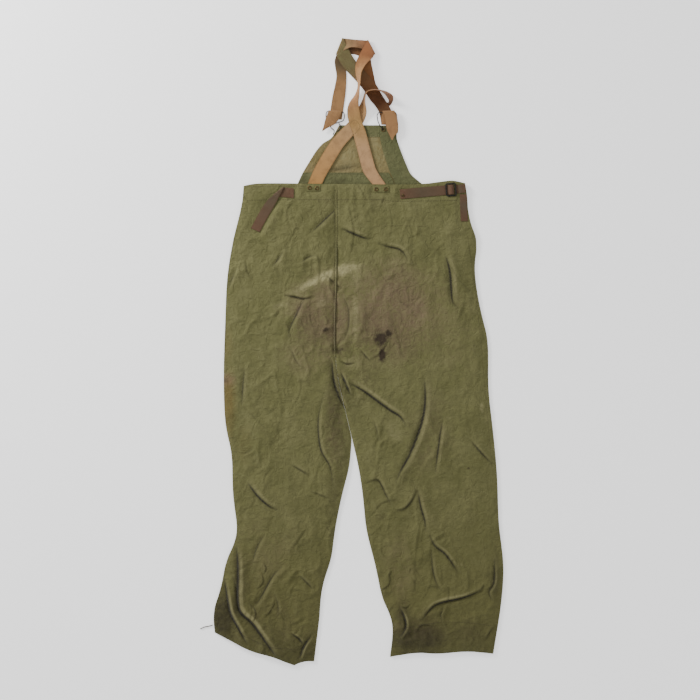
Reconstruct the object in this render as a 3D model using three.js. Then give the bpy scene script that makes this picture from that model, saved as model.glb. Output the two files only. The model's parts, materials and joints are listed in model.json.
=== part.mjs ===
// Bib overalls in cotton cloth, laid flat face down with the back up and the webbing
// braces thrown above the bib. Millimetres, +X to the wearer's right, +Y to the bib,
// +Z up from the surface that the garment lies on. The origin is the middle of its underside.
import * as THREE from "three";

// Driving sizes
const halfWidth = 377;
const halfLength = 815;
const waistLevel = 435;
const frontTop = 425;
const thighLevel = -225;
const frontThickness = 1.5;
const backThickness = 1.6;
const facingThickness = 1;
const webThickness = 1.5;
const patchThickness = 0.8;
const seamGap = 0.3;
const layerGap = 0.3;
const sideGap = 0.4;
const waistLift = 5.1;
const waistZone = [250, 300];
const loftHeight = 2.2;
const seatRows = 15;
const legRows = 19;
const panelColumns = 10;
const wireRadius = 0.9;
const cordRadius = 1.1;

// Outlines of the cloth, from the waist down to the hems
const outerLeft = [
  [-298, waistLevel - 5], [-302, 385], [-325, 290], [-340, 200], [-346, 80], [-350, -90],
  [-344, -200], [-330, -260], [-326, -370], [-316, -450], [-314, -485], [-328, -507],
  [-350, -570], [-356, -615], [-371, -650], [-halfWidth, -705], [-373, -730],
];
const outerRight = [
  [277, waistLevel + 2], [284, 390], [286, 345], [304, 305], [307, 260], [301, 230], [306, 170],
  [320, 95], [335, 35], [338, -100], [350, -210], [360, -320], [365, -450], [375, -530],
  [halfWidth, -575], [370, -660], [350, -785],
];
const seatSeam = [[-58, waistLevel], [-58, 220], [-62, 0], [-52, -75], [-17, thighLevel]];
const innerLeft = [
  [-17, thighLevel], [-24, -300], [-42, -370], [-62, -470], [-70, -535], [-95, -615],
  [-101, -690], [-107, -740], [-115, -805],
];
const innerRight = [
  [-17, thighLevel], [0, -300], [12, -380], [20, -460], [45, -560], [62, -640], [90, -705],
  [88, -745], [82, -793],
];
const hemLeft = [
  [-373, -730], [-315, -760], [-280, -778], [-210, -797], [-185, -809], [-160, -halfLength],
  [-145, -803], [-115, -805],
];
const hemRight = [[82, -793], [155, -782], [200, -785], [285, -779], [350, -785]];
const waistLeft = [[-298, waistLevel - 5], [-280, waistLevel], [-58, waistLevel]];
const waistRight = [
  [-58, waistLevel], [165, waistLevel], [215, waistLevel + 6], [257, waistLevel + 10],
  [277, waistLevel + 2],
];
const bibOutline = [
  [-163, frontTop + seamGap], [-145, 465], [-110, 522], [-92, 543], [-70, 553], [-50, 588],
  [102, 587], [98, 555], [115, 508], [135, 460], [167, 434], [168, frontTop + seamGap],
];

// The largest folds of the back: points along each, its height and its half width
const folds = [
  { path: [[-312, -495], [-306, -650], [-270, -710], [-205, -795]], height: 6, spread: 16 },
  { path: [[-345, -580], [-332, -665], [-305, -725], [-285, -765]], height: 5, spread: 14 },
  { path: [[-290, -335], [-230, -390], [-200, -405]], height: 5, spread: 18 },
  { path: [[-295, -60], [-295, -170], [-255, -215]], height: 4, spread: 18 },
  { path: [[-250, -280], [-185, -350], [-165, -480]], height: 4, spread: 24 },
  { path: [[-65, -25], [-90, -170], [-70, -290], [-60, -380]], height: 6, spread: 16 },
  { path: [[-55, -45], [-25, -135]], height: 6, spread: 16 },
  { path: [[-30, -75], [50, -125], [100, -150], [130, -195]], height: 5, spread: 18 },
  { path: [[180, -90], [165, -200], [120, -300], [105, -340]], height: 6, spread: 18 },
  { path: [[220, -185], [210, -250], [200, -330]], height: 5, spread: 18 },
  { path: [[290, -230], [350, -295]], height: 5, spread: 16 },
  { path: [[55, -330], [85, -400], [115, -395], [150, -360]], height: 5, spread: 18 },
  { path: [[160, -360], [180, -460], [215, -510], [265, -570]], height: 6, spread: 18 },
  { path: [[160, -695], [200, -655], [330, -615]], height: 6, spread: 16 },
  { path: [[110, -665], [125, -700], [105, -750]], height: 5, spread: 16 },
  { path: [[230, 240], [245, 150], [260, 80]], height: 5, spread: 16 },
  { path: [[-130, 145], [-165, 75], [-180, 20]], height: 4, spread: 20 },
  { path: [[-180, 250], [-225, 205]], height: 4, spread: 16 },
];

// Each strap as stations of its left edge, right edge, walking from the back waist.
// A fold station has the two edges' ends of the fold line and the heights it turns between.
const lyingHeight = 0.9;
const onEdge = 31;
const flat = (left, right, height) => ({ left: [...left, height], right: [...right, height] });
const webWidth = 34;
// A flat station from its middle, the direction across the strap in degrees, and its height
const lay = (x, y, turn, height, width = webWidth) => {
  const across = THREE.MathUtils.degToRad(turn);
  const dx = (width / 2) * Math.cos(across);
  const dy = (width / 2) * Math.sin(across);
  return flat([x - dx, y - dy], [x + dx, y + dy], height);
};
const braceLeft = [
  flat([-140, 415], [-105, 412], 4),
  flat([-117, 470], [-87, 452], 4.4),
  flat([-92, 515], [-61, 497], 4.4),
  flat([-65, 555], [-37, 535], 4.2),
  flat([-25, 597], [0, 577], 4),
  { left: [-11, 615, 3], right: [15, 600, 4] },
  { left: [-1, 632, 2], right: [21, 620, 9] },
  { left: [7, 647, 1.6], right: [18, 640, 19] },
  { left: [12, 658, 1.8], right: [17, 653, 27] },
  { left: [15, 668, 3.5], right: [19, 664, 29] },
  { left: [22, 678, 6.2], right: [25, 672, 30] },
  { left: [45, 681, 6.2], right: [46, 675, onEdge] },
  { left: [60, 679, 4.4], right: [58, 672, 29] },
  { left: [75, 675, 2], right: [68, 665, 27] },
  { left: [89, 665, 1.2], right: [75, 656, 23] },
  { left: [89, 650, 1], right: [79, 650, 13] },
  { left: [80, 638, lyingHeight], right: [76, 647, 2.4] },
  flat([65, 636], [64, 652], lyingHeight),
  flat([47, 648], [57, 664], lyingHeight),
  flat([28, 670], [52, 684], lyingHeight),
  flat([14, 690], [45, 696], lyingHeight),
  flat([10, 717], [40, 718], lyingHeight),
  flat([10, 745], [34, 747], lyingHeight),
  flat([4, 766], [23, 785], lyingHeight),
  flat([-20, 773], [-25, 800], lyingHeight),
  flat([-32, 764], [-50, 782], lyingHeight),
  flat([-33, 745], [-62, 755], lyingHeight),
  flat([-31, 716], [-57, 716], lyingHeight),
  flat([-34, 665], [-67, 665], lyingHeight),
  { left: [-43, 605], right: [-76, 605], turn: [lyingHeight, 3.3] },
  { left: [-44, 622], right: [-78, 624], turn: [3.3, 7.2] },
  flat([-50, 605], [-86, 603], 7.1),
  flat([-62, 590], [-91, 583], 6.7),
  flat([-79, 581], [-94, 575], 6.4),
  flat([-90, 574], [-94, 572], 6.2),
];
const braceRight = [
  lay(62, 416, 5, 4),
  lay(53, 435, 3, 4),
  lay(30, 468, 13, 4.4),
  lay(19, 505, 8, 4.6),
  lay(10, 539, 5, 5.5),
  lay(2, 569, 6, 6.5),
  lay(-9, 600, 6, 6.6),
  { left: [-29, 628, 5], right: [2, 630, 12] },
  { left: [-22, 649, 3], right: [0, 648, 19] },
  { left: [-11, 664, 3], right: [2, 664, 26] },
  { left: [-4, 679, 5.6], right: [3, 680, 30] },
  { left: [-2, 695, 6.2], right: [5, 695, onEdge] },
  { left: [-8, 726, 6.4], right: [8, 722, 26] },
  { left: [-7, 747, 7], right: [20, 745, 17] },
  { left: [0, 766, 7.2], right: [36, 762, 9] },
  { left: [23, 808], right: [42, 772], turn: [7.2, 3.4] },
  lay(14, 796, -75, 3.4, 27),
  { left: [-6, 810, 3.2], right: [-4, 788, 13] },
  { left: [-24, 812, 3.3], right: [-24, 788, 10] },
  { left: [-40, 813.9], right: [-57, 771], turn: [3.4, 6.6] },
  lay(-46, 786, -118, 6.6, 44),
  lay(-31, 758, -130, 5, 38),
  lay(-20, 743, -133, 3.6, 35),
  lay(3, 718, -144, 3.5),
  lay(27, 690, -149, 3.5),
  lay(47, 658, -163, 3.8),
  { left: [74, 646, 4.8], right: [42, 640, 3.6] },
  lay(71, 620, 180, 3.8),
  { left: [92, 591], right: [59, 591], turn: [4.2, 6.6] },
  lay(75, 606, -178, 6.6),
  { left: [94, 623], right: [62, 622], turn: [6.6, 10.5] },
  lay(83, 611, 180, 10.5, 33),
  lay(88, 573, 168, 10, 30),
  lay(87, 561, 171, 9.6, 14),
  lay(88, 549, 180, 9.4, 3),
];
const adjusterTop = waistLift + backThickness + layerGap + webThickness / 2;
const adjusterLeft = [
  flat([-168, 398], [-168, 423], adjusterTop),
  flat([-185, 400], [-182, 425], adjusterTop),
  { left: [-221, 405], right: [-194, 426], turn: [adjusterTop, adjusterTop + 2.6] },
  flat([-231, 398], [-206, 402], adjusterTop + 2.4),
  flat([-242, 385], [-219, 377], adjusterTop + 1.4),
  flat([-255, 365], [-232, 355], adjusterTop),
  flat([-279, 320], [-257, 310], adjusterTop),
];
const buckleAt = { x: 240, y: 420, turn: 5, rise: 4.9 };
const adjusterSlope = Math.tan(THREE.MathUtils.degToRad(buckleAt.turn));
const tapeWidth = 25;
// A station of the right adjuster's line, which runs through the buckle
const onBuckleLine = (x, raised, width = tapeWidth) => {
  const y = buckleAt.y + (x - buckleAt.x) * adjusterSlope;
  const lean = (width / 2) * adjusterSlope;
  return flat([x - lean, y + width / 2], [x + lean, y - width / 2], adjusterTop + raised);
};
const adjusterRight = [
  onBuckleLine(108, 0),
  onBuckleLine(212, 0),
  onBuckleLine(223, 0),
  onBuckleLine(231, 0),
  onBuckleLine(235, buckleAt.rise / 2),
  onBuckleLine(239, buckleAt.rise),
  onBuckleLine(243, buckleAt.rise),
  onBuckleLine(247, buckleAt.rise / 2.4),
];
const tabWidth = 22;
const buckleTab = [
  onBuckleLine(253, 0, tabWidth),
  onBuckleLine(260, 0, tabWidth),
  onBuckleLine(266, 1.2, tabWidth),
  onBuckleLine(278, 1.2, tabWidth - 1),
];
const bandHeight = waistLift + backThickness + layerGap + patchThickness / 2;
const sideBand = [
  flat([281, 408], [263, 408], bandHeight),
  flat([282, 372], [264, 372], bandHeight),
  flat([284, 338], [266, 338], bandHeight),
];

const cloth = { color: "#6b6744", roughness: 0.95 };
const clothInside = { color: "#7d6e4a", roughness: 0.95 };
const webbing = { color: "#aa875f", roughness: 0.9 };
const darkWebbing = { color: "#615540", roughness: 0.9 };
const darkMetal = { color: "#39372a", roughness: 0.5, metalness: 0.8 };
const dullBrass = { color: "#7a6238", roughness: 0.5, metalness: 0.8 };

const overalls = new THREE.Group();

function add(name, geometry, look) {
  const mesh = new THREE.Mesh(geometry, new THREE.MeshStandardMaterial(look));
  mesh.name = name;
  overalls.add(mesh);
}

// A smooth line through points, cut into equal lengths.
function along(points, count) {
  const vectors = points.map(([x, y]) => new THREE.Vector3(x, y, 0));
  return new THREE.CatmullRomCurve3(vectors, false, "centripetal").getSpacedPoints(count);
}

function distanceTo(path, x, y) {
  const at = new THREE.Vector3(x, y, 0);
  const nearest = new THREE.Vector3();
  let least = Infinity;
  for (let i = 1; i < path.length; i++) {
    const piece = new THREE.Line3(
      new THREE.Vector3(path[i - 1][0], path[i - 1][1], 0),
      new THREE.Vector3(path[i][0], path[i][1], 0),
    );
    piece.closestPointToPoint(at, true, nearest);
    least = Math.min(least, nearest.distanceTo(at));
  }
  return least;
}

// Height of the back's underside at a place, with edge running 0 to 1 across its panel.
function undersideHeight(x, y, edge) {
  const waist = THREE.MathUtils.smoothstep(y, ...waistZone);
  const loft = loftHeight * (1 - (2 * edge - 1) ** 4);
  let raised = 0;
  for (const { path, height, spread } of folds) {
    raised = Math.max(raised, height * Math.exp(-((distanceTo(path, x, y) / spread) ** 2)));
  }
  const rest = frontThickness + sideGap;
  const atEdge = Math.min(1, 8 * edge, 8 * (1 - edge));
  return rest + (waistLift - rest) * waist + (loft + raised * atEdge) * (1 - waist);
}

// A closed wall from a grid of points and the same grid moved by its thickness.
function wallGeometry(upper, lower) {
  const rows = upper.length;
  const columns = upper[0].length;
  const positions = [...upper.flat(), ...lower.flat()].flatMap((p) => [p.x, p.y, p.z]);
  const below = rows * columns;
  const at = (r, c) => r * columns + c;
  const index = [];
  const quad = (a, b, c, d) => index.push(a, b, c, a, c, d);
  for (let r = 0; r < rows - 1; r++) {
    for (let c = 0; c < columns - 1; c++) {
      quad(at(r, c), at(r + 1, c), at(r + 1, c + 1), at(r, c + 1));
      quad(below + at(r, c), below + at(r, c + 1), below + at(r + 1, c + 1), below + at(r + 1, c));
    }
  }
  for (let r = 0; r < rows - 1; r++) {
    quad(at(r, 0), below + at(r, 0), below + at(r + 1, 0), at(r + 1, 0));
    const last = columns - 1;
    quad(at(r + 1, last), below + at(r + 1, last), below + at(r, last), at(r, last));
  }
  for (let c = 0; c < columns - 1; c++) {
    quad(at(0, c + 1), below + at(0, c + 1), below + at(0, c), at(0, c));
    const last = rows - 1;
    quad(at(last, c), below + at(last, c), below + at(last, c + 1), at(last, c + 1));
  }
  const geometry = new THREE.BufferGeometry();
  geometry.setAttribute("position", new THREE.Float32BufferAttribute(positions, 3));
  geometry.setIndex(index);
  geometry.computeVertexNormals();
  return geometry;
}

// The back draped over the folds, and the front flat on the surface, cut off at the bib's seam.
const backWall = (x, y, edge) => {
  const height = undersideHeight(x, y, edge);
  return [y, height, height + backThickness];
};
const frontWall = (x, y) => [Math.min(y, frontTop), 0, frontThickness];

// A panel between four outlines, its wall given by a function of the place.
function panel(left, right, top, bottom, wall) {
  const rows = left.length - 1;
  const columns = top.length - 1;
  const upper = [];
  const lower = [];
  for (let r = 0; r <= rows; r++) {
    const t = r / rows;
    const upperRow = [];
    const lowerRow = [];
    for (let c = 0; c <= columns; c++) {
      const s = c / columns;
      const place = (axis) => {
        const sides = (1 - s) * left[r][axis] + s * right[r][axis];
        const ends = (1 - t) * top[c][axis] + t * bottom[c][axis];
        const headEnds = (1 - s) * top[0][axis] + s * top[columns][axis];
        const footEnds = (1 - s) * bottom[0][axis] + s * bottom[columns][axis];
        return sides + ends - (1 - t) * headEnds - t * footEnds;
      };
      const x = place("x");
      const [y, underside, topside] = wall(x, place("y"), s);
      lowerRow.push(new THREE.Vector3(x, y, underside));
      upperRow.push(new THREE.Vector3(x, y, topside));
    }
    upper.push(upperRow);
    lower.push(lowerRow);
  }
  return wallGeometry(upper, lower);
}

// A flat piece of cloth lying at a height, cut to an outline.
function flatPiece(outline, height, thickness) {
  const shape = new THREE.Shape(outline.map(([x, y]) => new THREE.Vector2(x, y)));
  const geometry = new THREE.ExtrudeGeometry(shape, { depth: thickness, bevelEnabled: false });
  return geometry.translate(0, 0, height);
}

// The stations of a strap with each fold line opened into a half turn.
function openFolds(stations) {
  const opened = [];
  stations.forEach((station, i) => {
    if (!station.turn) {
      opened.push([new THREE.Vector3(...station.left), new THREE.Vector3(...station.right)]);
      return;
    }
    const [from, to] = station.turn;
    const before = stations[i - 1];
    const fold = new THREE.Vector2(
      station.right[0] - station.left[0],
      station.right[1] - station.left[1],
    );
    const outward = new THREE.Vector2(-fold.y, fold.x).normalize();
    const come = new THREE.Vector2(
      station.left[0] + station.right[0] - before.left[0] - before.right[0],
      station.left[1] + station.right[1] - before.left[1] - before.right[1],
    );
    if (outward.dot(come) < 0) outward.negate();
    const radius = Math.abs(to - from) / 2;
    for (const angle of [-90, -45, 0, 45, 90]) {
      const turned = THREE.MathUtils.degToRad(angle);
      const out = radius * Math.cos(turned);
      const height = (from + to) / 2 + (Math.sign(to - from) * radius * Math.sin(turned));
      const move = ([x, y]) => new THREE.Vector3(x + out * outward.x, y + out * outward.y, height);
      opened.push([move(station.left), move(station.right)]);
    }
  });
  return opened;
}

// A strap of webbing or tape through its stations.
function strap(stations, thickness, perStation) {
  const opened = openFolds(stations);
  const count = (opened.length - 1) * perStation;
  const edges = [0, 1].map((side) => {
    const curve = new THREE.CatmullRomCurve3(opened.map((s) => s[side]), false, "centripetal");
    return curve.getPoints(count);
  });
  const middle = edges[0].map((p, i) => p.clone().add(edges[1][i]).multiplyScalar(0.5));
  const upper = [];
  const lower = [];
  for (let i = 0; i <= count; i++) {
    const ahead = middle[Math.min(i + 1, count)].clone().sub(middle[Math.max(i - 1, 0)]);
    const across = edges[1][i].clone().sub(edges[0][i]);
    const normal = across.cross(ahead).normalize().multiplyScalar(thickness / 2);
    const row = [edges[0][i], middle[i], edges[1][i]];
    upper.push(row.map((p) => p.clone().add(normal)));
    lower.push(row.map((p) => p.clone().sub(normal)));
  }
  return wallGeometry(lower, upper);
}

// A bent wire through points, with flat ends.
function wire(points, radius, steps, sides) {
  const section = new THREE.Shape();
  for (let i = 0; i < sides; i++) {
    const angle = (2 * Math.PI * i) / sides;
    const x = radius * Math.cos(angle);
    const y = radius * Math.sin(angle);
    if (i === 0) section.moveTo(x, y);
    else section.lineTo(x, y);
  }
  const path = new THREE.CatmullRomCurve3(
    points.map((p) => new THREE.Vector3(...p)),
    false,
    "centripetal",
  );
  return new THREE.ExtrudeGeometry(section, { steps, extrudePath: path, bevelEnabled: false });
}

// A flat ring or a dome turned about Z.
function turnedPiece(profile, x, y, z) {
  const points = profile.map(([r, h]) => new THREE.Vector2(r, h));
  const geometry = new THREE.LatheGeometry(points, 20);
  return geometry.rotateX(Math.PI / 2).translate(x, y, z);
}

const shift = (points, dx) => points.map((p) => p.clone().add(new THREE.Vector3(dx, 0, 0)));

// Back panels, one with each leg, joined down the middle by the seat seam
const seat = along(seatSeam, seatRows);
const insideLeft = [...seat, ...along(innerLeft, legRows).slice(1)];
const insideRight = [...seat, ...along(innerRight, legRows).slice(1)];
const rows = seatRows + legRows;
const halfSeam = (seamGap + 0.1) / 2;
const seamLeft = shift(insideLeft, -halfSeam);
const seamRight = shift(insideRight, halfSeam);
const sideLeft = along(outerLeft, rows);
const sideRight = along(outerRight, rows);
const trim = (points, dx) => {
  const last = points.length - 1;
  const ends = points.map((p) => p.clone());
  if (dx < 0) ends[last].x += dx;
  else ends[0].x += dx;
  return ends;
};
const topLeft = trim(along(waistLeft, panelColumns), -halfSeam);
const topRight = trim(along(waistRight, panelColumns), halfSeam);
const footLeft = trim(along(hemLeft, panelColumns), -halfSeam);
const footRight = trim(along(hemRight, panelColumns), halfSeam);
const leftSides = [sideLeft, seamLeft, topLeft, footLeft];
const rightSides = [seamRight, sideRight, topRight, footRight];
add("back_left", panel(...leftSides, backWall), cloth);
add("back_right", panel(...rightSides, backWall), cloth);

// Front panels under them, flat on the surface
add("front_left", panel(...leftSides, frontWall), clothInside);
add("front_right", panel(...rightSides, frontWall), clothInside);

// The bib, its inner side up, with its facings and the casing over the front's waist
add("bib", flatPiece(bibOutline, 0, frontThickness), clothInside);
const facingHeight = frontThickness + layerGap;
const facingDepth = 30;
const bibTop = 588;
const facingEnd = 55;
add(
  "bib_facing_top",
  flatPiece(
    [[-45, bibTop - facingDepth], [facingEnd, bibTop - facingDepth], [facingEnd, bibTop], [-45, bibTop]],
    facingHeight,
    facingThickness,
  ),
  cloth,
);
const sideFacingInner = [
  [facingEnd + seamGap, bibTop - 1], [facingEnd + seamGap, 556], [62, 525], [80, 470], [95, 438],
];
add(
  "bib_facing_side",
  flatPiece([...sideFacingInner, [95, 434], ...bibOutline.slice(6, 11).reverse()], facingHeight, facingThickness),
  cloth,
);
const casingTop = 465;
add(
  "waist_casing",
  flatPiece(
    [[-290, 405], [270, 405], [270, frontTop], [94, frontTop], [94, 437], [79, casingTop], [-144, casingTop],
      [-160, 430], [-290, frontTop]],
    facingHeight,
    facingThickness,
  ),
  cloth,
);

// Braces of webbing, each from inside the back waist to its clip, with its loose tail
add("brace_left", strap(braceLeft, webThickness, 2), webbing);
add("brace_right", strap(braceRight, webThickness, 2), webbing);

// Clips of bent wire: the right one hooked in the bib's eyelet, the left one undone
add(
  "clip_left",
  wire(
    [[-62, 623, 5.25], [-46, 622, 5.25], [-39, 621, 5.1], [-37, 616, 4.6], [-37, 607, 3.8],
      [-40, 600, 3], [-50, 596, 2.6], [-66, 592, 2.6], [-79, 596, 3], [-84, 608, 3.8],
      [-84, 617, 4.6], [-81, 623.6, 5.1], [-75, 623.9, 5.25], [-64, 623.2, 5.25]],
    wireRadius,
    48,
    8,
  ),
  darkMetal,
);
add(
  "hook_left_outer",
  wire([[-71, 589, 2.8], [-72, 583, 3], [-63, 573, 3.6], [-66, 563, 4.2]], wireRadius, 16, 8),
  darkMetal,
);
add(
  "hook_left_inner",
  wire([[-51, 593, 3.8], [-47, 586, 4.2], [-50, 575, 4.2], [-56, 571, 4.2]], wireRadius, 12, 8),
  darkMetal,
);
add(
  "clip_right",
  wire(
    [[64, 576, 4.1], [63, 578, 5.5], [58, 584, 5.7], [52, 594, 6.2], [49, 606, 7], [49, 615, 8.2],
      [53, 620, 8.55], [62, 620.5, 8.55], [77, 621.4, 8.55], [92, 622.2, 8.55], [98, 618, 8.2],
      [99, 610, 7.6], [98, 598, 6.3], [93, 587, 5.7], [82, 582, 5.6], [71, 580, 5.6]],
    wireRadius,
    56,
    8,
  ),
  darkMetal,
);

// Eyelets: one in the bib for the clip, two on the patch over each brace's root
const ringProfile = [[3, 0], [5.5, 0], [5.5, 0.9], [4.6, 1.2], [3.4, 1.2], [3, 0.9], [3, 0]];
const facingTop = facingHeight + facingThickness;
add("bib_eyelet", turnedPiece(ringProfile, 64, 576, facingTop + layerGap), dullBrass);
const patchHeight = waistLift + backThickness + layerGap;
const eyeletHeight = patchHeight + patchThickness + layerGap;
const roots = [
  { side: "left", x: -117, y: 424, width: 36, eyelets: [[-127, 425], [-108, 424]] },
  { side: "right", x: 59, y: 421, width: 42, eyelets: [[46, 421], [71, 421]] },
];
const patchDepth = 16;
for (const { side, x, y, width, eyelets } of roots) {
  const [dx, dy] = [width / 2, patchDepth / 2];
  const patch = [[x - dx, y - dy], [x + dx, y - dy], [x + dx, y + dy], [x - dx, y + dy]];
  add(`root_patch_${side}`, flatPiece(patch, patchHeight, patchThickness), darkWebbing);
  eyelets.forEach(([x, y], i) => {
    add(`root_eyelet_${side}_${i + 1}`, turnedPiece(ringProfile, x, y, eyeletHeight), dullBrass);
  });
}

// Waist adjusters of narrow webbing, the left one loose and the right one buckled
add("adjuster_left", strap(adjusterLeft, webThickness, 2), darkWebbing);
add("side_band", strap(sideBand, patchThickness, 2), darkWebbing);
add("adjuster_right", strap(adjusterRight, webThickness, 3), darkWebbing);
add("buckle_tab", strap(buckleTab, webThickness, 2), darkWebbing);
const rivetProfile = [[0, 0], [4, 0], [3.8, 0.7], [2.6, 1.5], [0, 1.8]];
add(
  "adjuster_rivet",
  turnedPiece(rivetProfile, 115, 405, adjusterTop + webThickness / 2 + layerGap),
  dullBrass,
);

function roundedBox(path, width, height, corner, x) {
  const [right, top] = [width / 2, height / 2];
  path.moveTo(x - right + corner, -top);
  path.lineTo(x + right - corner, -top);
  path.quadraticCurveTo(x + right, -top, x + right, -top + corner);
  path.lineTo(x + right, top - corner);
  path.quadraticCurveTo(x + right, top, x + right - corner, top);
  path.lineTo(x - right + corner, top);
  path.quadraticCurveTo(x - right, top, x - right, top - corner);
  path.lineTo(x - right, -top + corner);
  path.quadraticCurveTo(x - right, -top, x - right + corner, -top);
  return path;
}
const buckleShape = roundedBox(new THREE.Shape(), 28, 34, 6, 0);
for (const x of [-6.2, 6.2]) {
  buckleShape.holes.push(roundedBox(new THREE.Path(), 9, 28, 1.5, x));
}
const buckleGeometry = new THREE.ExtrudeGeometry(buckleShape, {
  depth: 2.2,
  bevelEnabled: false,
  curveSegments: 5,
});
const buckleHeight = adjusterTop + webThickness / 2 + layerGap;
buckleGeometry.rotateZ(THREE.MathUtils.degToRad(buckleAt.turn)).translate(buckleAt.x, buckleAt.y, buckleHeight);
add("adjuster_buckle", buckleGeometry, darkMetal);

// The end of the hem's drawstring, out of the left hem
add(
  "hem_drawstring",
  wire([[-379, -711, 1.2], [-389, -714, 1.2], [-400, -716, 1.2], [-411, -721, 1.2]], cordRadius, 8, 8),
  { color: "#3f3322", roughness: 0.95 },
);

export default overalls;
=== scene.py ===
import json
import math
import random

import bmesh
import bpy
import numpy as np
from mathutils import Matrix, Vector, noise
from mathutils.bvhtree import BVHTree
from mathutils.geometry import delaunay_2d_cdt
from mathutils.kdtree import KDTree

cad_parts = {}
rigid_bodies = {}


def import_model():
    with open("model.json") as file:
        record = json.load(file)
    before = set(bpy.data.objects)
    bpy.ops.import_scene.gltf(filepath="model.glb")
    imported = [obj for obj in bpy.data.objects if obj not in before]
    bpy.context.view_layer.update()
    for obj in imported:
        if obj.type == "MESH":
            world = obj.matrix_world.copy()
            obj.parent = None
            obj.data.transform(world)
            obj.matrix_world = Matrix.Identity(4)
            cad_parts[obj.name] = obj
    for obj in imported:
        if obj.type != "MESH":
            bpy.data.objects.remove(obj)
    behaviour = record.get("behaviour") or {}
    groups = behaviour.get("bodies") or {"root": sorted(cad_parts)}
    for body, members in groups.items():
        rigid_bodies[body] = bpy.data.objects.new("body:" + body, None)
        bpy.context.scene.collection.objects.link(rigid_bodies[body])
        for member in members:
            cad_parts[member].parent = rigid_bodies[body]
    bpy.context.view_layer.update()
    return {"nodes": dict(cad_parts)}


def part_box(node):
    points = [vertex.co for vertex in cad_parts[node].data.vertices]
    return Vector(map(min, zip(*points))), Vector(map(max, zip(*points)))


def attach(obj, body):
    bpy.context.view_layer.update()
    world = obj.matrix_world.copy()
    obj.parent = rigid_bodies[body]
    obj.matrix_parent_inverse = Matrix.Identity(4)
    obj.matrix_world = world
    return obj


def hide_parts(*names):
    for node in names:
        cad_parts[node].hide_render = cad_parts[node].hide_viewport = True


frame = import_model()
nodes = frame["nodes"]
mm = 0.001
bpy.ops.object.select_all(action="DESELECT")
print("frame loaded,", len(nodes), "pieces")


# Camera, straight above the garment

view = {"lens": 85, "sensor": 36, "widthShown": 1820, "centre": (-22, 4)}


def makeCamera():
    data = bpy.data.cameras.new("overheadCamera")
    data.lens = view["lens"]
    data.sensor_width = view["sensor"]
    camera = bpy.data.objects.new("overheadCamera", data)
    bpy.context.scene.collection.objects.link(camera)
    x, y = view["centre"]
    height = view["widthShown"] * view["lens"] / view["sensor"]
    camera.location = (x * mm, y * mm, height * mm)
    bpy.context.scene.camera = camera


makeCamera()


# Curves and meshes

def smoothLine(points, step):
    # points walked by a smooth curve, about a step apart
    p = [np.array(q, float) for q in points]
    p = [2 * p[0] - p[1], *p, 2 * p[-1] - p[-2]]
    walked = []
    for a, b, c, d in zip(p, p[1:], p[2:], p[3:]):
        count = max(1, int(np.linalg.norm(c - b) / step))
        for t in np.arange(count) / count:
            walked.append(0.5 * (2 * b + (c - a) * t + (2 * a - 5 * b + 4 * c - d) * t**2
                                 + (3 * b - a - 3 * c + d) * t**3))
    return np.array([*walked, p[-2]])


def newObject(name, vertices, faces):
    mesh = bpy.data.meshes.new(name)
    mesh.from_pydata([tuple(v) for v in vertices], [], [tuple(f) for f in faces])
    mesh.update()
    piece = bpy.data.objects.new(name, mesh)
    bpy.context.scene.collection.objects.link(piece)
    return piece


def applyModifiers(piece):
    bpy.ops.object.select_all(action="DESELECT")
    piece.select_set(True)
    bpy.context.view_layer.objects.active = piece
    for modifier in list(piece.modifiers):
        bpy.ops.object.modifier_apply(modifier=modifier.name)
    piece.select_set(False)


def shadeSmooth(piece, angle=180):
    bpy.ops.object.select_all(action="DESELECT")
    piece.select_set(True)
    bpy.context.view_layer.objects.active = piece
    if angle < 180:
        bpy.ops.object.shade_smooth_by_angle(angle=math.radians(angle))
    else:
        bpy.ops.object.shade_smooth()
    piece.select_set(False)


def mergedCopy(node):
    # a CAD node's mesh with its loose triangles joined
    joined = bmesh.new()
    joined.from_mesh(nodes[node].data)
    bmesh.ops.remove_doubles(joined, verts=joined.verts, dist=0.01 * mm)
    joined.normal_update()
    return joined


def finishPiece(piece, material, slot, *stoodFor):
    piece.data.materials.clear()
    piece.data.materials.append(material)
    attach(piece, "root")
    if stoodFor:
        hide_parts(*stoodFor)


# Materials

def linear(hexColour):
    values = [int(hexColour[i:i + 2], 16) / 255 for i in (1, 3, 5)]
    return [v / 12.92 if v <= 0.04045 else ((v + 0.055) / 1.055) ** 2.4 for v in values] + [1]


def addNode(tree, kind, inputs=None, **settings):
    node = tree.nodes.new(kind)
    for name, value in settings.items():
        setattr(node, name, value)
    for name, value in (inputs or {}).items():
        socket = node.inputs[name]
        if isinstance(value, bpy.types.NodeSocket):
            tree.links.new(value, socket)
        else:
            socket.default_value = value
    return node


def newMaterial(name, colour, **shaderInputs):
    material = bpy.data.materials.new(name)
    material.use_nodes = True
    tree = material.node_tree
    shader = tree.nodes["Principled BSDF"]
    shader.inputs["Base Color"].default_value = linear(colour)
    for key, value in shaderInputs.items():
        shader.inputs[key].default_value = value
    return material, tree, shader


def overlay(tree, under, amount, colour):
    mix = addNode(tree, "ShaderNodeMix", data_type="RGBA")
    tree.links.new(amount, mix.inputs[0])
    tree.links.new(under, mix.inputs[6])
    mix.inputs[7].default_value = linear(colour)
    return mix.outputs[2]


clothLook = {
    "weaveMm": 1.5,  # real threads are 0.4 mm apart, drawn coarser so that they show
    "mottleMm": 70,
    "speckMm": 9,
}


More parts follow.
